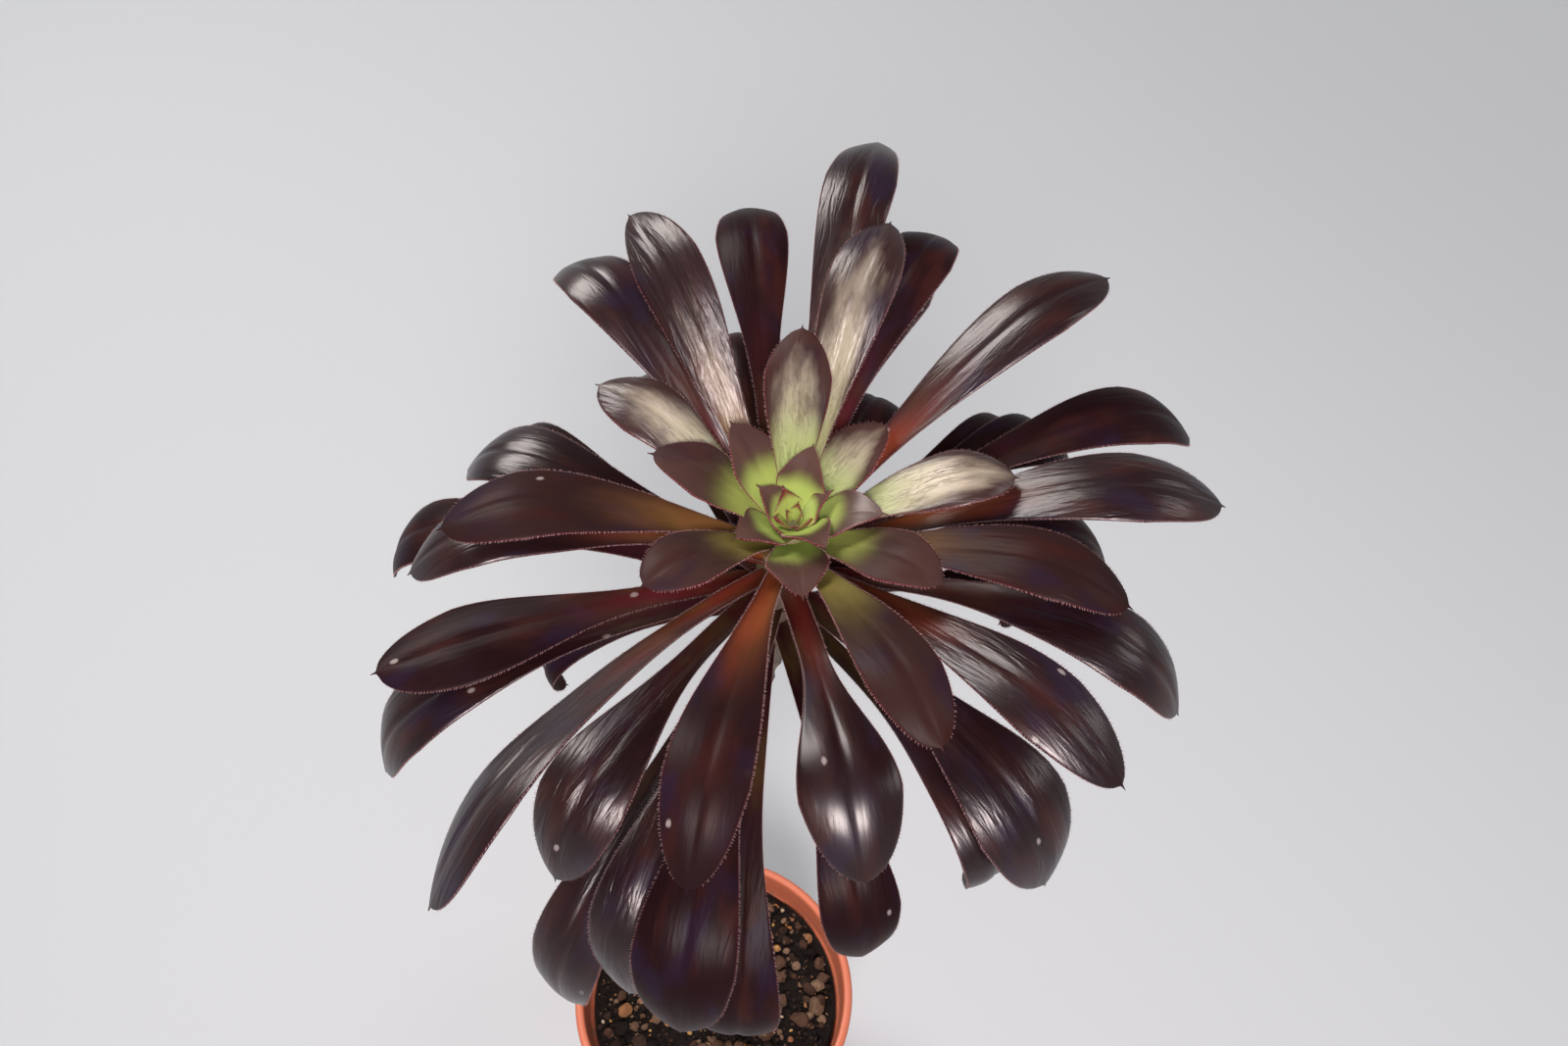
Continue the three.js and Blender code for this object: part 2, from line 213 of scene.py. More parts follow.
def linePoint(t):  # a smooth curve through the stem's points, for t from 0 to 1
    line = np.array(stem["line"], float)
    spans = len(line) - 1
    line = np.vstack([2 * line[0] - line[1], line, 2 * line[-1] - line[-2]])
    whole = min(int(t * spans), spans - 1)
    w = t * spans - whole
    a, b, c, d = line[whole:whole + 4]
    before, here, after = [np.sqrt(np.linalg.norm(q - p)) for p, q in ((a, b), (b, c), (c, d))]
    out = ((b - a) / before - (c - a) / (before + here) + (c - b) / here) * here
    into = ((c - b) / here - (d - b) / (here + after) + (d - c) / after) * here
    square = (3 * (c - b) - 2 * out - into) * w ** 2
    cube = (2 * (b - c) + out + into) * w ** 3
    return b + out * w + square + cube


lineTimes = np.linspace(0, 1, 201)
lineSteps = np.diff([linePoint(t) for t in lineTimes], axis=0)
lineRuns = np.concatenate([[0], np.cumsum(np.linalg.norm(lineSteps, axis=1))])
stemLength = lineRuns[-1]


def stemFrame(along):  # the middle at a share of the stem's length, and its up, right and back
    t = np.interp(along * stemLength, lineRuns, lineTimes)
    near = 1e-4
    up = unit(linePoint(min(1, t + near)) - linePoint(max(0, t - near)))
    right = unit(np.array([1.0, 0, 0]) - up * up[0])
    return linePoint(t), up, right, np.cross(up, right)


def stemRadius(fromTop):
    crownLength = stem["crownLength"]
    belowCrown = smooth(crownLength + stem["trunkStart"], stemLength, fromTop)
    trunk = mix(*stem["trunkRadii"], belowCrown)
    dome = np.sqrt(smooth(stem["domeStart"], crownLength / 2, fromTop))
    crown = mix(stem["tipRadius"], stem["crownRadius"], dome)
    return mix(crown, trunk, smooth(crownLength / 2, crownLength + stem["crownFade"], fromTop))


def scarsAt(fromTop, angle):  # raised rims and sunk faces of the scars, in a spiral down the trunk
    first = np.floor(fromTop / stem["scarSpacing"])
    rim, face = np.zeros_like(fromTop), np.zeros_like(fromTop)
    for step in range(-1, 3):
        number = first + step
        high = (fromTop - number * stem["scarSpacing"]) / stem["scarHeight"]
        turn = (angle - np.radians(number * leaf["turn"]) + math.pi) % fullTurn - math.pi
        wide = turn * stemRadius(fromTop) / stem["scarWidth"]
        far = np.sqrt(high ** 2 + wide ** 2 + stem["scarSlant"] * high * np.abs(wide))
        rim = np.maximum(rim, np.exp(-((far - stem["scarRim"]) / stem["scarRimWidth"]) ** 2))
        face = np.maximum(face, smooth(1.0, 0.7, far))
    below = smooth(stem["crownLength"] - 12, stem["crownLength"] + 6, fromTop)
    return rim * below, face * below


def barkFinish():
    bark = Finish("stemBark")
    place = bark.node("TexCoord", {}, output="Object")
    scar = bark.reading("scar", "Fac")
    top = bark.reading("nearTop", "Fac")
    coarse = bark.noise(place, (180, 180, 60), 5, 0.6)
    cracks = bark.noise(place, (700, 700, 160), 4, 0.6, 0.5)
    colour = bark.ramp(coarse, stem["barkStops"])
    colour = bark.mixed(scar * 0.7, colour, stem["scarColour"])
    colour = bark.mixed(bark.rise(cracks, 0.42, 0.32) * 0.7, colour, stem["crackColour"])
    colour = bark.mixed(top * 0.8, colour, stem["greenTop"])
    return bark.surface(Base_Color=colour, Roughness=0.72 + (coarse - 0.5) * 0.3,
                        Normal=bark.bump(cracks + coarse, stem["barkDepth"]))


def makeStem():
    finish = barkFinish()
    along, angles = np.linspace(0, 1, stem["steps"]), anglesOf(stem["sides"])
    fromTop = (1 - along)[:, None] * stemLength + 0 * angles[None]
    rim, face = scarsAt(fromTop, angles[None] + 0 * fromTop)
    grain = (stem["grain"] * np.sin(angles * 9 + fromTop * 0.15)
             * np.sin(fromTop * 0.5 + angles * 2))
    grain *= smooth(stem["crownLength"] - 10, stem["crownLength"] + 20, fromTop)
    relief = stem["scarRelief"] * (rim - stem["scarDip"] * face)
    radius = stemRadius(fromTop) + relief + grain
    points = []
    for i, share in enumerate(along):
        centre, _, right, back = stemFrame(share)
        ring = np.cos(angles)[:, None] * right + np.sin(angles)[:, None] * back
        points.append(centre + ring * radius[i][:, None])
    faces, uvs = ringFaces(len(along), len(angles))
    attributes = {"scar": face.ravel(), "nearTop": smooth(30, 4, fromTop).ravel()}
    makePiece("stem_bark", np.vstack(points), faces, [finish], ["stem"], attributes, uvs)
    print("stem made")


# leaves, by the part's own rules; number 1 is the youngest

leaf = {
    "count": 63, "oldest": 71, "heart": 12,  # the heart's leaves are one piece
    "firstAzimuth": 233, "turn": 137.5, "nod": 10, "curlStart": 0.62,
    "edge": 0.7, "thickness": (2.6, 1.8, 1.3),  # at the root, the middle and the end
    "rimStart": 0.94, "rimWidth": 0.06, "groove": 0.05, "grooveWidth": 0.14, "ripple": 0.45,
    "pointLength": 1.5, "pointWidth": 0.8, "pointFull": 14,  # leaves this wide have a full point
    "flattest": 0.01, "cup": (0.75, -0.42), "youngCup": (0.5, 0.42),  # at the root and the end
    # each of these is for an old leaf and for the youngest
    "widest": (0.8, 0.58), "rootShare": (0.27, 0.5), "swell": (1.5, 0.8), "blunt": (2.6, 2),
    "pointed": (0.26, 0.8),
    # how many points a blade has along and across, and a small one in the bud
    "steps": {"body": 26, "end": 15, "top": 19, "bottom": 15},
    "budSteps": {"body": 12, "end": 9, "top": 11, "bottom": 9},
    "hairSpacing": 0.72, "hairLength": 0.42, "hairWidth": 0.11, "hairFull": 16, "hairRoot": 0.975,
    "pressReach": 8, "pressGap": 0.3, "pressSpread": 8, "pressFade": 0.7,
    # how the form follows from a leaf's number, in degrees and millimetres
    "archStart": 8, "archStep": 0.7, "curlMost": 75, "curlPace": 24,
    "slopeStart": 60, "slopeStep": 1.25, "budLeaves": 12, "budSlope": 0.6,
    "lengthStart": 5, "lengthGain": 117, "grown": 31, "lengthPower": 1.9,
    "widthMost": 21, "widthPace": 12, "budNarrower": 0.25, "waist": (0.1, 0.3),
    "dropStart": 1.5, "dropStep": 0.2, "dropLater": 0.45, "dropLaterFrom": 10,
}

# what single leaves do otherwise than the rule says, in degrees and millimetres
leafHabits = {
    8: {"longer": -3}, 9: {"turn": -15}, 10: {"turn": -16, "longer": -3},
    11: {"turn": -10, "lift": 6, "longer": 4}, 12: {"turn": -15},
    13: {"turn": -3, "lift": 2, "longer": -5}, 14: {"turn": -14}, 15: {"turn": -7, "lift": -4},
    16: {"turn": 3, "longer": -6}, 17: {"turn": -12, "lift": -8, "longer": -2},
    18: {"turn": -19, "lift": 1}, 19: {"turn": -3, "lift": -2, "longer": 2},
    20: {"turn": -18, "longer": 3}, 21: {"turn": -20, "lift": 4, "longer": -6},
    22: {"turn": -16, "lift": -6}, 23: {"turn": -5, "lift": -4, "longer": -3},
    24: {"turn": 2, "longer": 12}, 25: {"turn": -2, "lift": -3, "longer": 13},
    26: {"turn": -14, "lift": 1, "longer": 9, "wider": 2},
    27: {"turn": -9, "lift": -3, "longer": 3},
    28: {"turn": -4, "lift": -3, "arch": -4, "curl": -12, "longer": 2, "roll": -28},
    29: {"turn": -2, "curl": 12, "longer": 9},
    30: {"turn": -4, "lift": -3, "arch": -3, "curl": -12, "longer": 2},
    31: {"turn": 16, "lift": -6, "arch": 4, "curl": 8, "longer": -15},
    32: {"turn": 2, "arch": -3, "curl": -10, "longer": -8},
    33: {"turn": -14, "lift": -6, "curl": -5, "longer": 12},
    34: {"turn": 5, "lift": -1, "curl": 5, "longer": 18, "roll": 36},
    35: {"turn": -6, "lift": -1, "arch": -3, "curl": -12, "longer": -2, "wider": 2},
    36: {"turn": -13, "arch": 2, "curl": 9, "longer": -7},
    37: {"turn": 1, "lift": 4, "longer": -18, "wider": 4, "waist": 0.12},
    38: {"turn": 5, "lift": -3, "longer": -3},
    39: {"turn": 4, "lift": -2, "arch": -18, "curl": -50, "longer": -16, "wider": 4},
    40: {"turn": 1, "lift": -1, "arch": 2, "curl": 10, "longer": 2},
    41: {"turn": -15, "lift": -1, "curl": -9},
    42: {"turn": -10, "arch": 2, "curl": 8, "longer": -8, "wider": 2},
    43: {"turn": -9, "longer": 10}, 44: {"turn": -1, "longer": -20},
    45: {"turn": 8, "lift": -2, "arch": 3, "curl": 8, "longer": -1, "wider": 6},
    46: {"turn": -12, "longer": -8}, 47: {"turn": -13, "lift": -10, "arch": -4, "longer": 8},
    48: {"turn": 11, "longer": -20}, 49: {"turn": -6, "longer": -34},
    50: {"turn": -10, "lift": -3, "curl": 6, "longer": 12, "wider": 5},
    51: {"turn": -16, "lift": -4, "longer": -11}, 52: {"turn": -9, "longer": 2},
    53: {"turn": -16, "lift": -4, "curl": 50, "wider": -3},
    54: {"turn": -1, "lift": 2, "longer": -22},
    55: {"turn": 15, "lift": 5, "longer": 4, "wider": 3}, 56: {"turn": 22, "longer": -14},
    57: {"turn": -2, "longer": -8}, 58: {"turn": -3, "longer": -10}, 59: {"longer": -30},
    60: {"turn": -6, "curl": 35, "longer": -40, "wider": -8},
    61: {"turn": 22, "curl": 25, "longer": -36, "wider": -7}, 62: {"longer": -30},
    63: {"turn": -16, "lift": 1, "curl": -8, "longer": 14},
    71: {"turn": -10, "lift": 2, "longer": 14, "wider": 2},
}

# painted sheen: how strongly a silvery highlight is painted into the upper face's colour of these
# leaves, partly over paler green-cream skin near the root
paintedSheenLeaves = {
    9: 0.5, 12: 0.15, 14: 0.25, 17: 0.95, 20: 0.88, 22: 1.05, 23: 0.95, 25: 0.82, 28: 0.4, 33: 0.4,
}

# how far each of these leaf roots has turned from green, 0, through orange, 0.4, to dark red, 1
leafRoots = {
    21: 0.2, 24: 0.19, 26: 0.32, 27: 0.3, 28: 0.36, 29: 0.42, 30: 0.5, 31: 0.46, 32: 0.5, 35: 0.45,
}

# how furrowed the skin is, 0.5 for the others
wornLeaves = {
    26: 0.3, 28: 0.9, 29: 0.2, 32: 0.8, 34: 0.9, 35: 0.8, 37: 0.06, 39: 0.3, 42: 1.1, 43: 0.6,
    45: 0.9, 55: 1.1,
}

# older leaves that sink a little, each with the younger one that lies on it
pressedBy = {25: 20, 27: 19, 36: 28, 55: 50}

# leaves with less gloss than the others; the bud is one of them
dullLeaves = [
    13, 15, 16, 17, 18, 19, 20, 21, 24, 26, 27, 29, 38, 39, 41, 43, 48, 50, 51, 52, 54, 56, 57, 58,
    59, 60, 61, 62, 71,
]


def leafShape(number):
    habit = {"turn": 0, "lift": 0, "arch": 0, "curl": 0, "longer": 0, "wider": 0, "roll": 0,
             "waist": 0, **leafHabits.get(number, {})}
    azimuth = leaf["firstAzimuth"] + number * leaf["turn"] + habit["turn"]
    arch = leaf["archStart"] + leaf["archStep"] * number + habit["arch"]
    curl = leaf["curlMost"] * (1 - math.exp(-number / leaf["curlPace"])) + habit["curl"]
    slope = leaf["slopeStart"] - leaf["slopeStep"] * number
    slope += leaf["budSlope"] * max(0, leaf["budLeaves"] - number)
    slope += leaf["nod"] * math.sin(math.radians(azimuth)) + habit["lift"]
    length = leaf["lengthGain"] * min(1, number / leaf["grown"]) ** leaf["lengthPower"]
    width = leaf["widthMost"] * (1 - math.exp(-number / leaf["widthPace"]))
    width = width * (1 - leaf["budNarrower"] * float(smooth(8, 3, number))) + habit["wider"]
    lower = leaf["dropLater"] * max(0, number - leaf["dropLaterFrom"])
    return {
        "number": number, "azimuth": math.radians(azimuth), "roll": habit["roll"],
        "arch": arch, "curl": curl,
        "pitch": slope + 0.5 * arch + 0.5 * (1 - leaf["curlStart"]) * curl,
        "length": leaf["lengthStart"] + length + habit["longer"], "width": width,
        "waist": float(mix(*leaf["waist"], smooth(26, 42, number))) + habit["waist"],
        "youth": float(1 - smooth(8, 24, number)), "bud": float(1 - smooth(4, 12, number)),
        "drop": leaf["dropStart"] + leaf["dropStep"] * number + lower,
        "pointSize": min(1, width / leaf["pointFull"]),
    }


def leafAxes(shape, t):  # ahead, side and up of the blade at each t
    bend = shape["arch"] * t + shape["curl"] * smooth(leaf["curlStart"], 1, t)
    pitch = np.radians(shape["pitch"] - bend)
    roll = np.radians(shape["roll"] * smooth(0, 0.7, t))[:, None]
    east, north = math.cos(shape["azimuth"]), math.sin(shape["azimuth"])
    ahead = np.stack([np.cos(pitch) * east, np.cos(pitch) * north, np.sin(pitch)], 1)
    level = np.array([[-north, east, 0]]) * np.ones_like(ahead)
    side = level * np.cos(roll) + np.cross(ahead, level) * np.sin(roll)
    return ahead, side, np.cross(ahead, side)


def leafMidline(shape, t):  # points along the middle of the blade, from its root on the stem
    fine = np.linspace(0, t[-1], 401)
    steps = leafAxes(shape, (fine[1:] + fine[:-1]) / 2)[0] * (fine[1] - fine[0]) * shape["length"]
    runs = np.vstack([[0, 0, 0], np.cumsum(steps, axis=0)])
    root = stemFrame(1 - shape["drop"] / stemLength)[0]
    return root + np.stack([np.interp(t, fine, runs[:, k]) for k in range(3)], 1)


def leafHalf(shape, t):  # half the width: narrow root, spoon-shaped end, small point
    youth, size = shape["youth"], shape["pointSize"]
    widest, root, power, blunt, pointed = (
        mix(*leaf[key], youth) for key in ("widest", "rootShare", "swell", "blunt", "pointed"))
    swell = root + (1 - root) * smooth(shape["waist"] * (1 - youth), widest, t) ** power
    run = np.clip((t - widest) / (1 - widest), 0, 1)
    roundEnd = np.sqrt(np.maximum(0, 1 - run ** blunt))
    end = mix(roundEnd, 1 - run, pointed + 0.2 * shape["bud"])
    half = shape["width"] / 2 * np.where(t < widest, swell, end)
    beyond = (1 - t) * shape["length"] / (leaf["pointLength"] * size)
    point = leaf["pointWidth"] * size * np.clip((beyond + 1) / 2, 0.02, 1) ** 1.2
    return np.maximum(half, point * (beyond < 1.2))


def leafCup(shape, t):  # the bend across the blade: a channel near the root, a dome near the end
    grown = mix(*leaf["cup"], smooth(0.05, 0.85, t))
    cup = mix(grown, mix(*leaf["youngCup"], t), shape["youth"])
    return np.where(np.abs(cup) < leaf["flattest"], leaf["flattest"], cup)


def leafPoints(shape, t, u, below):  # t along, u from -1 to 1 across; every pair of the two
    side, up = leafAxes(shape, t)[1:]
    centre = leafMidline(shape, t)
    t, u, below = t[:, None], u[None, :], below[None, :]
    half, cup = leafHalf(shape, t), leafCup(shape, t)
    atRoot, middle, atEnd = leaf["thickness"]
    thick = mix(mix(atRoot, middle, smooth(0, 0.4, t)), atEnd, smooth(0.6, 1, t))
    thick = np.minimum(thick, half * 1.1 + 0.3)
    outside = np.maximum(0, np.abs(u) - leaf["rimStart"]) / leaf["rimWidth"]
    rim = np.sqrt(np.clip(1 - outside ** 2, 0, 1))
    edge = np.minimum(leaf["edge"], half * 1.2)
    depth = np.maximum(edge, thick * (1 - u * u)) * rim
    groove = leaf["groove"] * half * (1 - 0.6 * shape["youth"])
    crease = groove * np.exp(-(u / leaf["grooveWidth"]) ** 2)
    crease = crease * smooth(1, 0.9, t) * smooth(0.3, 0.75, t)
    number = shape["number"]
    wave = np.sin(t * 9 + number) * u + 0.6 * np.sin(t * 16 + number * 2.3) * np.abs(u)
    ripple = leaf["ripple"] * wave * smooth(0.25, 0.6, t) * half / 12
    rise = half * (1 - np.cos(cup * u)) / cup + ripple
    rise = rise - np.where(below, depth, 0) - np.where(below, 0, crease)
    rise = rise - (1 - rim) * edge * 0.5 * (1 - below)
    across = half * np.sin(cup * u) / cup
    spots = centre[:, None] + across[..., None] * side[:, None] + rise[..., None] * up[:, None]
    return spots, np.broadcast_to(half, rise.shape)


def leafSink(shape, t, u):  # how far a pressed blade sinks at each place, to lie under the other
    cover = leafMesh(leafShape(pressedBy[shape["number"]]), True)
    tree = BVHTree.FromPolygons(cover["points"].tolist(), cover["faces"])
    up = leafAxes(shape, t)[2]
    top = leafPoints(shape, t, u, np.zeros(len(u)))[0]
    reach = leaf["pressReach"] + leaf["pressGap"]
    sink = np.zeros(top.shape[:2])
    for i in range(len(t)):
        for j in range(len(u)):
            start = Vector(top[i, j] - up[i] * leaf["pressReach"])
            far = tree.ray_cast(start, Vector(up[i]), reach)[3]
            sink[i, j] = 0 if far is None else reach - far
    sink *= smooth(0.15, 0.3, t)[:, None]
    for _ in range(leaf["pressSpread"]):
        around = np.maximum(np.roll(sink, 1, axis=1), np.roll(sink, -1, axis=1))
        around[1:] = np.maximum(around[1:], sink[:-1])
        around[:-1] = np.maximum(around[:-1], sink[1:])
        sink = np.maximum(sink, around * leaf["pressFade"])
    return sink


def acrossSteps(count):  # closer near the margins, and five more for the groove
    bends = np.sin(np.radians(np.linspace(-90, 90, count)))
    return np.unique(np.concatenate([bends, [-0.13, -0.065, 0, 0.065, 0.13]]).round(5))


def leafMesh(shape, fine):
    length, steps = shape["length"], leaf["steps" if fine else "budSteps"]
    body = np.linspace(0, 0.8, steps["body"])
    end = 0.8 + 0.2 * np.sin(np.radians(np.linspace(0, 90, steps["end"])))[1:]
    beyond = shape["pointSize"] * leaf["pointLength"] / length
    point = 1 + beyond * np.array([-0.9, -0.5, 0, 0.5, 1])
    t = np.unique(np.concatenate([body, end[end < 1 - beyond * 0.9], point]))
    top = acrossSteps(steps["top"])
    bottom = np.sin(np.radians(np.linspace(90, -90, steps["bottom"])))[1:-1]
    u = np.concatenate([top, bottom])
    below = np.concatenate([np.zeros(len(top)), np.ones(len(bottom))])
    spots, half = leafPoints(shape, t, u, below)
    pressed = shape["number"] in pressedBy
    sink = leafSink(shape, t, u) if pressed else np.zeros(spots.shape[:2])
    spots = spots - sink[..., None] * leafAxes(shape, t)[2][:, None]
    faces, uvs = ringFaces(len(t), len(u))
    faces = [face[::-1] for face in faces]
    corners = np.cumsum([0] + [len(face) for face in faces])
    uvs = np.vstack([uvs[a:b][::-1] for a, b in zip(corners, corners[1:])])
    grid = np.ones_like(half)
    run = t[:, None] * grid
    place = [u * half + shape["number"] * 61, run * length, below * grid]
    tone = [run, u * grid, below * grid]
    return {
        "points": spots.reshape(-1, 3), "faces": faces,
        "uvs": uvs * (0.9, 1),  # the rest is for hairs
        "place": np.stack(place, -1).reshape(-1, 3), "tone": np.stack(tone, -1).reshape(-1, 3),
        "marginSink": {-1: (t, sink[:, 0]), 1: (t, sink[:, len(top) - 1])},
    }


def leafHairs(shape, marginSink, random):  # three-sided hairs that stand out from both margins
    length = shape["length"]
    size = mix(0.55, 1, min(1, shape["width"] / leaf["hairFull"]))
    count = max(8, int(length * 0.97 / (leaf["hairSpacing"] * size)))
    wide = leaf["hairWidth"] * size
    hairs = []
    for sign in (-1, 1):
        t = np.linspace(0.04, 0.985, count) + random.uniform(-0.3, 0.3, count) / count
        root = leafPoints(shape, t, np.array([leaf["hairRoot"] * sign]), np.array([0.0]))[0][:, 0]
        ahead, side, up = leafAxes(shape, t)
        root = root - up * np.interp(t, *marginSink[sign])[:, None]
        slant = random.uniform(0.25, 0.8, count)[:, None]
        lift = random.uniform(-0.35, 0.25, count)[:, None]
        closing = smooth(0.9, 1, t)[:, None]
        out = unit(side * sign * (1 - 0.7 * closing) + ahead * (slant + closing) + up * lift)
        reach = leaf["hairLength"] * size * random.uniform(0.65, 1.25, count)[:, None]
        reach = reach * smooth(0, 0.12, t)[:, None]
        flat = unit(np.cross(out, up))
        corners = [root + flat * wide, root - flat * wide * 0.5 + up * wide * 0.8,
                   root - flat * wide * 0.5 - up * wide * 0.8]
        hairs.append(np.stack([*corners, root + out * (reach + 0.25)], 1))
    points = np.concatenate(hairs).reshape(-1, 3)
    n = len(points) // 4
    sides = ((0, 1), (1, 2), (2, 0))
    faces = [(4 * i + a, 4 * i + b, 4 * i + 3) for i in range(n) for a, b in sides]
    row = np.arange(n)[:, None, None] / n
    cell = np.array([(0, 0), (1, 0), (0.5, 1)])[None]
    cells = [0.92 + 0.07 * cell[..., :1] + 0 * row, row + cell[..., 1:] * 0.8 / n]
    uvs = np.repeat(np.concatenate(cells, -1), 3, axis=0).reshape(-1, 2)
    return {"points": points, "faces": faces, "uvs": uvs, "tip": np.tile([0.0, 0, 0, 1], n)}


leafLook = {
    "youngOuter": (0.076, 0.041, 0.033), "oldOuter": (0.0105, 0.0034, 0.0042),
    "budOuter": (0.105, 0.016, 0.013), "underside": (0.040, 0.007, 0.009),
    "cloud": (0.025, 0.0072, 0.0062), "bloom": (0.013, 0.0065, 0.016),
    "greenReach": 0.68, "budReach": 0.85, "redReach": 0.44,
    "rootStops": [(0, (0.24, 0.30, 0.070)), (0.03, (0.28, 0.37, 0.085)),
                  (0.14, (0.19, 0.19, 0.045)), (0.28, (0.17, 0.10, 0.032)),
                  (0.42, (0.25, 0.055, 0.020)), (0.62, (0.14, 0.016, 0.012)),
                  (0.8, (0.060, 0.008, 0.010)), (1, (0.030, 0.007, 0.010))],
    "rootEdge": (0.05, 0.010, 0.012), "rootOlive": (0.13, 0.10, 0.022),
    # painted sheen: a silvery highlight painted into the colour, the paler green-cream skin it
    # fades from at the root, and dark lines in it
    "paintedSheen": (0.46, 0.41, 0.31), "paintedSheenRoot": (0.27, 0.36, 0.13),
    "paintedSheenLine": (0.10, 0.085, 0.055), "tarnish": (0.13, 0.095, 0.065),
    "margin": (0.14, 0.018, 0.024), "oldMargin": (0.030, 0.010, 0.013),
    "speck": (0.36, 0.32, 0.31), "speckScale": (0.055, 0.034, 0),
    "hairRoot": (0.22, 0.06, 0.06), "hairTip": (0.62, 0.5, 0.48),
    # how fine each texture is across, along and between leaves, its detail, roughness and warp
    "textures": {
        "cloud": ((0.13, 0.04, 1), 3), "wrinkle": ((0.9, 0.13, 1), 4, 0.55, 1.2),
        "fine": ((2.6, 0.4, 1), 3, 0.6, 0.4), "furrows": ((0.42, 0.05, 1), 3, 0.5, 0.9),
        "bloom": ((0.09, 0.05, 1), 2), "patches": ((0.22, 0.06, 1), 3, 0.6),
        "stains": ((0.12, 0.07, 1), 4, 0.65),
    },
    "wrinkleDepth": 0.00012,
    "roughness": {"glossyLeaf": 0.3, "dullLeaf": 0.4},
    "gloss": {"glossyLeaf": 0.45, "dullLeaf": 0.06},
}


def leafSkin(name):
    look = leafLook
    skin = Finish(name)
    place = skin.reading("leafPlace")
    along, across, under = skin.parts(skin.reading("leafTone"))
    age, rootTone, paintedSheen = skin.parts(skin.reading("leafKind"))
    furrowed = skin.reading("leafWorn", "Fac")
    upper = 1 - under
    edge = across * across
    cloud, wrinkle, fine, furrows, bloom, patches, stains = (
        skin.noise(place, *texture) for texture in look["textures"].values())

    # dark outer part, and the green, orange or red that reaches out from the root
    outer = skin.mixed(skin.rise(age, 0.06, 0), look["youngOuter"], look["budOuter"])
    outer = skin.mixed(age, outer, look["oldOuter"])
    outer = skin.mixed(skin.rise(cloud, 0.45, 0.7) * age, outer, look["cloud"])
    outer = skin.mixed(skin.rise(bloom, 0.5, 0.7) * age * upper * 0.8, outer, look["bloom"])
    outer = skin.mixed(under * age, outer, look["underside"])
    root = skin.ramp(rootTone, look["rootStops"])
    dark = skin.rise(edge, 0.2, 0.9) * 0.6 * skin.rise(rootTone, 0.2, 0.5)
    root = skin.mixed(dark, root, look["rootEdge"])
    olive = skin.rise(cloud, 0.4, 0.7) * 0.4 * skin.rise(rootTone, 0.1, 0.3)
    root = skin.mixed(olive, root, look["rootOlive"])
    reach = look["greenReach"] - age * (look["greenReach"] - look["redReach"])
    reach = reach + skin.rise(age, 0.1, 0) * (look["budReach"] - look["greenReach"])
    past = along + (cloud - 0.5) * 0.2 + edge * 0.1 - reach
    rooted = skin.rise(past, 0.13, -0.11) * (1 - age) + skin.rise(past, 0.22, -0.34) * age
    colour = skin.mixed(rooted.clamped(), outer, root)

    # partly the paler green-cream skin near the root, partly painted sheen: a silvery highlight
    # painted into the upper skin's colour, with fine dark lines and stains in it
    line = wrinkle + (fine - 0.5) * 0.25 - 0.5
    line = skin.node("Math", {"operation": "ABSOLUTE"}, {0: line})
    lines = skin.rise(line, 0.05, 0.0) * skin.rise(patches, 0.35, 0.6)
    fading = along + edge * 0.42 + patches * 0.5 - paintedSheen * 0.5
    paintedSheenShare = paintedSheen * upper * skin.rise(along, 0.0, 0.22) * skin.rise(fading, 0.8, 0.36)
    creamy = along + patches * 0.3 + skin.rise(age, 0.5, 1) * 0.3
    pale = skin.mixed(skin.rise(creamy, 0.5, 1.03), look["paintedSheenRoot"], look["paintedSheen"])
    stained = skin.rise(stains, 0.5, 0.72) * skin.rise(along, 0.25, 0.6)
    pale = skin.mixed(stained * 0.6, pale, look["tarnish"])
    pale = skin.mixed(lines * 0.5, pale, look["paintedSheenLine"])
    colour = skin.mixed(paintedSheenShare * (0.6 + patches * 0.4), colour, pale)

    # red line along the margins, and a few pale specks
    margin = skin.mixed(age, look["margin"], look["oldMargin"])
    colour = skin.mixed(skin.rise(edge, 0.87, 0.96) * 0.85, colour, margin)
    cells = skin.node("TexVoronoi", {"voronoi_dimensions": "2D"}, {
        "Vector": skin.stretched(place, look["speckScale"]), "Scale": 1.0, "Randomness": 1.0})
    chosen = skin.node("SeparateColor", {}, {0: Wire(skin, cells.socket.node.outputs["Color"])})
    near = skin.rise(cells + (chosen + fine) * 0.03, 0.085, 0.06)
    speck = near * skin.rise(chosen, 0.74, 0.78) * upper
    colour = skin.mixed(speck * 0.5, colour, look["speck"])

    worn = skin.rise(along, 0.05, 0.5) * (furrowed * age + paintedSheen) + 0.1
    height = (wrinkle * 0.5 + fine * 0.12 + furrows * age * 3.4) * worn
    height = height + cloud * 2 - lines * paintedSheenShare * 0.6
    rough = look["roughness"][name] + (wrinkle - 0.5) * 0.12 * worn
    rough = rough + (1 - age) * 0.12 + under * 0.1
    return skin.surface(Base_Color=colour, Roughness=rough.clamped(),
                        Specular_IOR_Level=look["gloss"][name],
                        Normal=skin.bump(height, look["wrinkleDepth"]))


def hairFinish():
    hair = Finish("leafHair")
    colour = hair.mixed(hair.reading("hairTip", "Fac"), leafLook["hairRoot"], leafLook["hairTip"])
    return hair.surface(Base_Color=colour, Roughness=0.5)


def joinMeshes(parts):  # blades have the first material, hairs the second
    points, faces, kinds, shift = [], [], [], 0
    for part in parts:
        points.append(part["points"])
        faces += [tuple(v + shift for v in face) for face in part["faces"]]
        kinds += [1 if "tip" in part else 0] * len(part["faces"])
        shift += len(part["points"])
    return np.vstack(points), faces, kinds


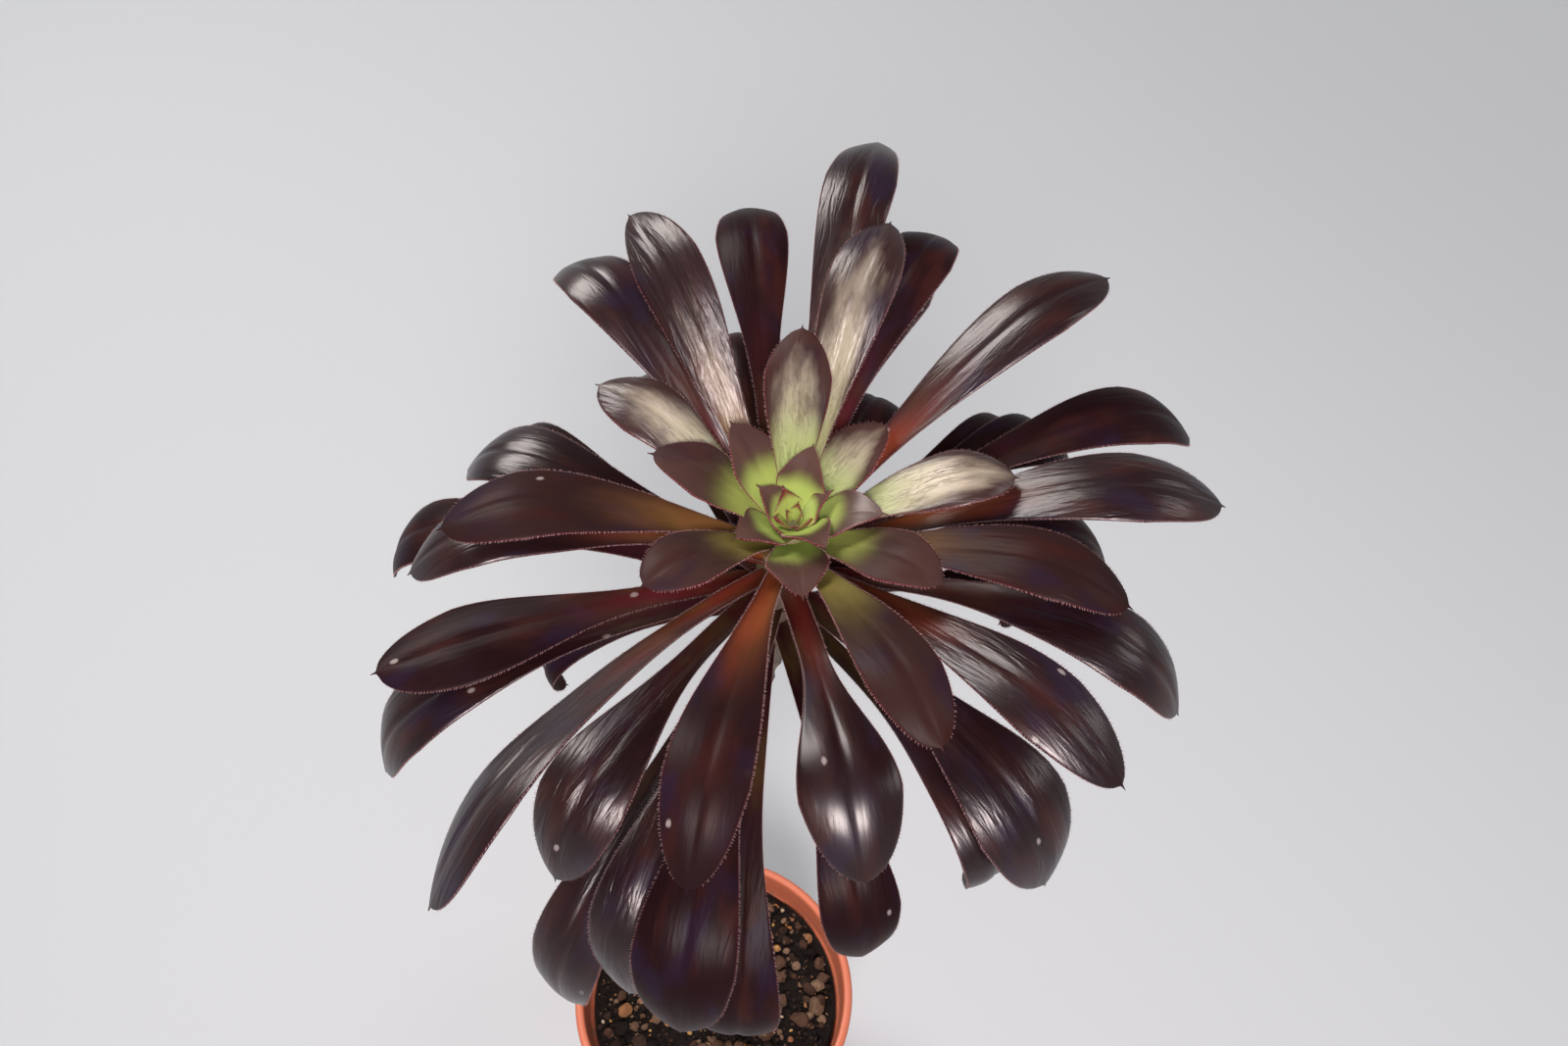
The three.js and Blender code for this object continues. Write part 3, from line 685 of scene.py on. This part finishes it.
def makeLeaves():
    glossy, dull, hairs = leafSkin("glossyLeaf"), leafSkin("dullLeaf"), hairFinish()
    random = np.random.default_rng(63)
    groups = [("heart_bud", list(range(1, leaf["heart"] + 1)), "rosette_heart", "heart")]
    for number in [*range(leaf["heart"] + 1, leaf["count"] + 1), leaf["oldest"]]:
        slot = "young_leaf" if number < 20 else "leaf"
        groups.append((f"blade_{number:02d}", [number], f"leaf_{number:02d}", slot))
    for name, numbers, node, slot in groups:
        parts, rows = [], []
        for number in numbers:
            shape = leafShape(number)
            blade = leafMesh(shape, number > 8)
            hair = leafHairs(shape, blade["marginSink"], random)
            parts += [blade, hair]
            tone = leafRoots.get(number, float(smooth(13, 52, number)) + 0.03 * (number > 8))
            # each leaf's age, root tone and strength of its painted sheen
            kind = (float(smooth(5, 32, number)), min(1, max(0, tone)),
                    paintedSheenLeaves.get(number, 0))
            for part in (blade, hair):
                n = len(part["points"])
                rows.append({
                    "leafPlace": part.get("place", np.zeros((n, 3))),
                    "leafTone": part.get("tone", np.zeros((n, 3))),
                    "leafKind": np.tile(kind, (n, 1)),
                    "leafWorn": np.full(n, wornLeaves.get(number, 0.5)),
                    "hairTip": part.get("tip", np.zeros(n))})
        points, faces, kinds = joinMeshes(parts)
        attributes = {key: np.concatenate([row[key] for row in rows]) for key in rows[0]}
        alone = len(numbers) == 1
        uvs = np.vstack([part["uvs"] for part in parts]) if alone else None
        skin = glossy if alone and numbers[0] not in dullLeaves else dull
        makePiece(name, points, faces, [skin, hairs], [node], attributes, uvs, kinds)
    print("leaves made", len(groups))


# pot

pot = {
    "height": 105, "rimRadius": 60, "baseRadius": 41, "wall": 1.6, "floor": 2.4, "recess": 1.6,
    "bandHeight": 17, "bandInset": 3, "wallInset": 5,  # insets from the rim's radius
    "footRing": (34.5, 33), "pad": (14.5, 13),  # radii where these slant up to the recess
    "axis": 0.01, "bevel": 0.9, "bevelPasses": 2,
    "sides": 144, "holes": 6, "holeRadius": 4, "holeReach": 24, "drillLength": 12, "drillHeight": 2,
    "colour": (0.42, 0.10, 0.046), "pale": (0.47, 0.15, 0.085), "scuffed": (0.72, 0.38, 0.27),
    "dust": (0.22, 0.12, 0.08), "grainDepth": 0.00005,
}


def potInnerRadius(z):  # of the tapered wall, under the band
    share = z / (pot["height"] - pot["bandHeight"])
    return mix(pot["baseRadius"], pot["rimRadius"] - pot["wallInset"], share) - pot["wall"]


def potOutline():  # radius and height, from the floor inside, over the lip and down to the foot
    top, rim, base = pot["height"], pot["rimRadius"], pot["baseRadius"]
    low, band, wall = top - pot["bandHeight"], rim - pot["bandInset"], pot["wall"]
    axis, recess = pot["axis"], pot["recess"]
    inside = [(axis, recess + pot["floor"]), (potInnerRadius(4) - 2, 4), (potInnerRadius(4), 5),
              (potInnerRadius(low) - 0.2, low + 0.4), (band - 0.6 - wall, low + 2.4),
              (band + 0.4 - wall, top - 3)]
    lip = [(rim - 3.8, top - 0.6), (rim - 2.2, top), (rim - 0.8, top - 0.5), (rim, top - 2),
           (rim - 0.8, top - 3.6), (band + 0.5, top - 4.4)]
    outside = [(band - 0.4, low + 0.6), (rim - pot["wallInset"], low - 0.5), (base, 1.5),
               (base - 1.5, 0)]
    foot = [(pot["footRing"][0], 0), (pot["footRing"][1], recess), (pot["pad"][0], recess),
            (pot["pad"][1], 0), (axis, 0)]
    return inside + lip + outside + foot


def rounded(outline):  # cuts each corner where two long sides meet, as moulded edges are
    line = np.array(outline, float)
    for step in range(pot["bevelPasses"]):
        cut = [line[0]]
        for a, b in zip(line, line[1:]):
            short = min(0.25, pot["bevel"] / max(np.linalg.norm(b - a), 1e-6) / (step + 1))
            cut += [a + (b - a) * short, b + (a - b) * short]
        line = np.array(cut + [line[-1]])
    return line


def potFinish():
    plastic = Finish("potPlastic")
    place = plastic.node("TexCoord", {}, output="Object")
    x, y, z = plastic.parts(place)
    patches = plastic.noise(place, (22, 22, 30), 4, 0.55)
    grains = plastic.noise(place, (1600, 1600, 1600), 2)
    scuffs = plastic.noise(place, (90, 90, 420), 4, 0.7, 1.2)
    splash = plastic.noise(place, (260, 260, 260), 4, 0.65)
    colour = plastic.mixed(patches, pot["colour"], pot["pale"])
    colour = plastic.mixed(plastic.rise(scuffs, 0.6, 0.75) * 0.35, colour, pot["scuffed"])
    taper = pot["rimRadius"] - pot["wallInset"] - pot["baseRadius"]
    flare = taper / (pot["height"] - pot["bandHeight"])
    middle = z * flare + (pot["baseRadius"] - pot["wall"] / 2) * millimetre
    # soil dust stays on the inner side of the wall's middle, and below the lip
    inner = plastic.rise((x * x + y * y) ** 0.5 - middle, 0.0007, 0.0003)
    inner = inner * plastic.rise(z, 0.0985, 0.094)
    dusty = (plastic.rise(splash, 0.5, 0.68) * (inner * 0.7 + 0.07)).clamped()
    colour = plastic.mixed(dusty, colour, pot["dust"])
    rough = (0.36 + scuffs * 0.16 + dusty * 0.3).clamped()
    return plastic.surface(Base_Color=colour, Roughness=rough, IOR=1.49,
                           Normal=plastic.bump(grains + patches * 4, pot["grainDepth"]))


def drillHoles(shell):
    drills = bmesh.new()
    radius, length = pot["holeRadius"] * millimetre, pot["drillLength"] * millimetre
    height = Vector((0, 0, pot["drillHeight"])) * millimetre
    for turn in anglesOf(pot["holes"]):
        drill = bmesh.ops.create_cone(drills, cap_ends=True, segments=32, radius1=radius,
                                      radius2=radius, depth=length)
        shift = Vector((math.cos(turn), math.sin(turn), 0)) * pot["holeReach"] * millimetre
        bmesh.ops.translate(drills, verts=drill["verts"], vec=shift + height)
    mesh = bpy.data.meshes.new("holes")
    drills.to_mesh(mesh)
    drills.free()
    cutter = bpy.data.objects.new("holes", mesh)
    bpy.context.scene.collection.objects.link(cutter)
    cut = shell.modifiers.new("holes", "BOOLEAN")
    cut.operation, cut.solver, cut.object = "DIFFERENCE", "EXACT", cutter
    bpy.context.view_layer.update()
    cutShell = shell.evaluated_get(bpy.context.evaluated_depsgraph_get())
    drilled = bpy.data.meshes.new_from_object(cutShell)
    shell.modifiers.remove(cut)
    shell.data = drilled
    bpy.data.objects.remove(cutter)


def makePot():
    outline, angles = rounded(potOutline()), anglesOf(pot["sides"])
    points = ringOf(outline[:, 0][:, None], angles, outline[:, 1][:, None]).reshape(-1, 3)
    faces = [face[::-1] for face in ringFaces(len(outline), len(angles))[0]]
    shell = makePiece("pot_shell", points, faces, [potFinish()], ["pot"])
    drillHoles(shell)
    print("pot made", len(shell.data.polygons))


# soil

soil = {
    "top": 92, "sides": 180, "rings": 70, "gap": 0.3, "lumps": 26, "lumpSizes": (2.6, 5.4),
    "lumpTones": [0.78, 0.5, 0.66, 0.84, 0.6, 0.7, 0.86, 0.4, 0.74, 0.8, 0.64, 0.99, 0.5, 0.68,
                  0.82],
    "chips": 340, "chipSizes": (1.5, 4.4), "grit": 2200, "gritSizes": (0.4, 1.5), "facets": 9,
    # partly the soil's own dark colours, partly painted shade: these tones are darkened for the
    # leaves' shadow on the soil
    "grainStops": [(0, (0.004, 0.0028, 0.0022)), (0.3, (0.009, 0.0058, 0.0045)),
                   (0.48, (0.024, 0.014, 0.010)), (0.64, (0.055, 0.027, 0.017)),
                   (0.76, (0.105, 0.060, 0.037)), (0.86, (0.20, 0.130, 0.083)),
                   (0.93, (0.36, 0.14, 0.04)), (0.97, (0.48, 0.30, 0.11)),
                   (1, (0.55, 0.48, 0.40))],
    "dusty": (0.14, 0.08, 0.047), "paintedPitShade": (0.008, 0.005, 0.004), "grainDepth": 0.0006,
}


def soilHeight(x, y):  # gently uneven, and heaped a little around the stem
    swell = 1.1 * np.sin(x / 13 + 1.7) * np.cos(y / 11) + 0.5 * np.sin(x / 5 - y / 6)
    return soil["top"] + swell + 2.2 * np.exp(-(x * x + y * y) / 300)


def repeatable(seed):  # the part's own random numbers, so that its lumps stay where they are
    state, span = seed, 4294967296
    while True:
        state = (state * 1664525 + 1013904223) % span
        yield state / span


def pebble(divisions):  # a plain ball, to be broken into a stone
    ball = bmesh.new()
    bmesh.ops.create_icosphere(ball, subdivisions=divisions, radius=1)
    points = np.array([v.co[:] for v in ball.verts])
    faces = [tuple(v.index for v in face.verts) for face in ball.faces]
    ball.free()
    return points, faces


def broken(points, seed):  # a ball cut by flat faces all round, and dented a little
    random = np.random.default_rng(seed)
    facing = unit(random.normal(size=(soil["facets"], 3)))
    near = random.uniform(0.55, 0.9, soil["facets"])
    reach = np.min(near / np.maximum(points @ facing.T, 0.3), axis=1)
    shift = Vector((seed * 7.1, seed * 3.3, 0))
    dents = np.array([noise.noise(Vector(p) * 3.1 + shift) for p in points])
    return points * (np.minimum(reach, 1) * (1 + 0.1 * dents))[:, None]


def soilFinish():
    earth = Finish("soilGrit")
    place = earth.node("TexCoord", {}, output="Object")
    tone = earth.reading("grain", "Fac")
    coarse = earth.noise(place, (900, 900, 900), 4, 0.65)
    fine = earth.noise(place, (2600, 2600, 2600), 3, 0.6)
    colour = earth.ramp(tone, soil["grainStops"])
    dusty = earth.rise(coarse, 0.45, 0.7) * 0.35 * earth.rise(tone, 0.3, 0.7)
    colour = earth.mixed(dusty, colour, soil["dusty"])
    # painted shade: darker where the fine bump dips, in the grains' small pits
    colour = earth.mixed(earth.rise(fine, 0.5, 0.35) * 0.5, colour, soil["paintedPitShade"])
    return earth.surface(Base_Color=colour, Roughness=0.75 + fine * 0.2, Specular_IOR_Level=0.15,
                         Normal=earth.bump(coarse + fine, soil["grainDepth"]))


def soilBump(x, y):  # small uneven bumps in the mix, between the stones
    spot = Vector((x, y, 0))
    return noise.noise(spot * 0.35) * 1.1 + noise.noise(Vector((x, y, 5)) * 1.1) * 0.7


def makeMix(edge, finish):  # the body of the soil, under the loose grains
    angles = anglesOf(soil["sides"])
    reach = edge * np.linspace(1, 0.004, soil["rings"])[:, None]
    x, y = reach * np.cos(angles), reach * np.sin(angles)
    bumps = np.array([[soilBump(p, q) for p, q in zip(*rows)] for rows in zip(x, y)])
    top = np.stack([x, y, soilHeight(x, y) + bumps - soil["gap"]], -1).reshape(-1, 3)
    floor = pot["recess"] + pot["floor"] + soil["gap"]
    foot = [ringOf(radius, angles, floor) for radius in (1, potInnerRadius(floor) - 0.5)]
    faces, uvs = ringFaces(soil["rings"] + len(foot), soil["sides"])
    # painted shade: the mix is darker where its bumps dip, in its hollows
    tones = [np.full(len(foot) * soil["sides"], 0.2), 0.15 + 0.15 * bumps.ravel()]
    makePiece("soil_mix", np.vstack([*foot, top]), faces, [finish], ["soil"],
              {"grain": np.clip(np.concatenate(tones), 0, 0.4)}, uvs)


def makeSoil():
    finish = soilFinish()
    edge = potInnerRadius(pot["height"] - pot["bandHeight"]) - 0.7
    makeMix(edge, finish)
    points, faces, tones, shift = [], [], [], 0
    shapes = {divisions: pebble(divisions) for divisions in (1, 2, 3)}

    def addGrain(place, size, flat, turns, tone, divisions, seed):
        nonlocal shift
        ball, sides = shapes[divisions]
        stone = broken(ball, seed) * size * np.array(flat)
        points.append(stone @ np.array(Euler(turns).to_matrix()).T + place)
        faces.extend(tuple(v + shift for v in face) for face in sides)
        tones.append(np.full(len(stone), tone))
        shift += len(stone)

    draw = repeatable(7)
    random = np.random.default_rng(11)
    for i in range(soil["lumps"]):  # the coarse lumps, in the same places as the part's own
        far = 11 + 37 * math.sqrt((i + 0.5) / soil["lumps"])
        angle = math.radians(i * leaf["turn"])
        size = mix(*soil["lumpSizes"], next(draw) ** 2)
        flat = (1, mix(0.7, 1, next(draw)), mix(0.6, 0.85, next(draw)))
        turns = (next(draw) * 0.6, 0, next(draw) * math.pi)
        x, y = far * math.cos(angle), far * math.sin(angle)
        inward = min(1, (potInnerRadius(soil["top"] - 5) - 1.5 - size) / far)
        place = (x * inward, y * inward, soilHeight(x, y) + 0.25 * size)
        tone = soil["lumpTones"][i % len(soil["lumpTones"])]
        addGrain(place, size, flat, turns, tone, 3, i)
    for i in range(soil["chips"] + soil["grit"]):  # loose chips and grit, evenly spread
        chip = i < soil["chips"]
        far = (edge - 1.5) * math.sqrt(random.uniform(0.02, 1))
        angle = random.uniform(0, fullTurn)
        size = mix(*soil["chipSizes" if chip else "gritSizes"], random.uniform() ** 2)
        far = min(far, edge - size)
        x, y = far * math.cos(angle), far * math.sin(angle)
        tone = random.uniform() ** (0.8 if chip else 1.3)
        tone = min(tone, 0.9) if size > 3 else tone
        flat, turns = random.uniform(0.6, 1, 3), random.uniform(0, 3, 3)
        divisions = 3 if chip else 1 if size < 0.8 else 2
        place = (x, y, float(soilHeight(x, y)) + size * 0.3)
        addGrain(place, size, flat, turns, tone, divisions, i + 50)
    grains = makePiece("soil_grains", np.vstack(points), faces, [finish], [],
                       {"grain": np.concatenate(tones)})
    grains.data.shade_flat()
    print("soil made", len(faces))


# floor, light and camera

studio = {
    "floor": (0.412, 0.45, 0.47), "floorMottle": (0.388, 0.425, 0.445),
    "farFloor": (0.42, 0.435, 0.445), "farFrom": 0.5, "farTo": 2.4, "halfFloor": 40,
    "sky": [(0, (0.36, 0.36, 0.365)), (0.2, (0.36, 0.36, 0.365)), (0.6, (0.075, 0.078, 0.084))],
    "cameraPlace": (0.0303, -0.1742, 0.7057), "cameraTilt": 35, "lens": 31.5, "sensor": 36,
    # name, place, size, watts, colour; each looks at the rosette
    "lamps": [("front", (0.05, -1.0, 1.45), 0.5, 34, (1, 0.87, 0.83)),
              ("halo", (0.25, -1.0, 1.6), 1.3, 5, (0.66, 0.57, 1)),
              ("left", (-0.6, 0.78, 1.3), 0.7, 22, (1, 0.92, 0.88)),
              ("right", (1.1, 0.15, 1.2), 0.5, 3, (1, 0.95, 0.94))],
    "aim": (0.03, 0.02, 0.38),
}


def makeFloor():  # pale paper, lit from within far from the pot so that it stays pale there
    paper = Finish("floorPaper")
    place = paper.node("TexCoord", {}, output="Object")
    x, y = paper.parts(place)[:2]
    mottle = paper.noise(place, (3, 3, 3), 3)
    far = paper.rise((x * x + y * y) ** 0.5, studio["farFrom"], studio["farTo"])
    glow = paper.mixed(far, (0, 0, 0), studio["farFloor"])
    colour = paper.mixed(mottle * 0.15, studio["floor"], studio["floorMottle"])
    finish = paper.surface(Base_Color=colour, Roughness=0.9, Emission_Color=glow,
                           Emission_Strength=1.0)
    half = studio["halfFloor"]
    corners = [(-half, -half, 0), (half, -half, 0), (half, half, 0), (-half, half, 0)]
    mesh = bpy.data.meshes.new("floor")
    mesh.from_pydata(corners, [], [(0, 1, 2, 3)])
    mesh.materials.append(finish)
    floor = bpy.data.objects.new("floor", mesh)
    bpy.context.scene.collection.objects.link(floor)


def makeStudio():
    makeFloor()
    world = bpy.data.worlds.new("studio")
    world.use_nodes = True
    sky = Finish("sky", world.node_tree)
    height = sky.parts(sky.node("TexCoord", {}, output="Generated"))[2]
    glow = sky.node("Background", {}, {"Color": sky.ramp(height, studio["sky"])})
    sky.node("OutputWorld", {}, {"Surface": glow})
    bpy.context.scene.world = world
    bpy.context.scene.view_settings.view_transform = "Standard"
    for name, place, size, watts, colour in studio["lamps"]:
        lamp = bpy.data.lights.new(name, "AREA")
        lamp.size, lamp.energy, lamp.color = size, watts, colour
        holder = bpy.data.objects.new(name, lamp)
        holder.location = place
        towards = Vector(studio["aim"]) - Vector(place)
        holder.rotation_euler = towards.to_track_quat("-Z", "Y").to_euler()
        bpy.context.scene.collection.objects.link(holder)
    lens = bpy.data.cameras.new("camera")
    lens.lens, lens.sensor_width = studio["lens"], studio["sensor"]
    camera = bpy.data.objects.new("camera", lens)
    camera.location = studio["cameraPlace"]
    camera.rotation_euler = (math.radians(studio["cameraTilt"]), 0, 0)
    bpy.context.scene.collection.objects.link(camera)
    bpy.context.scene.camera = camera
    print("studio made")


makeStudio()
makePot()
makeSoil()
makeStem()
makeLeaves()
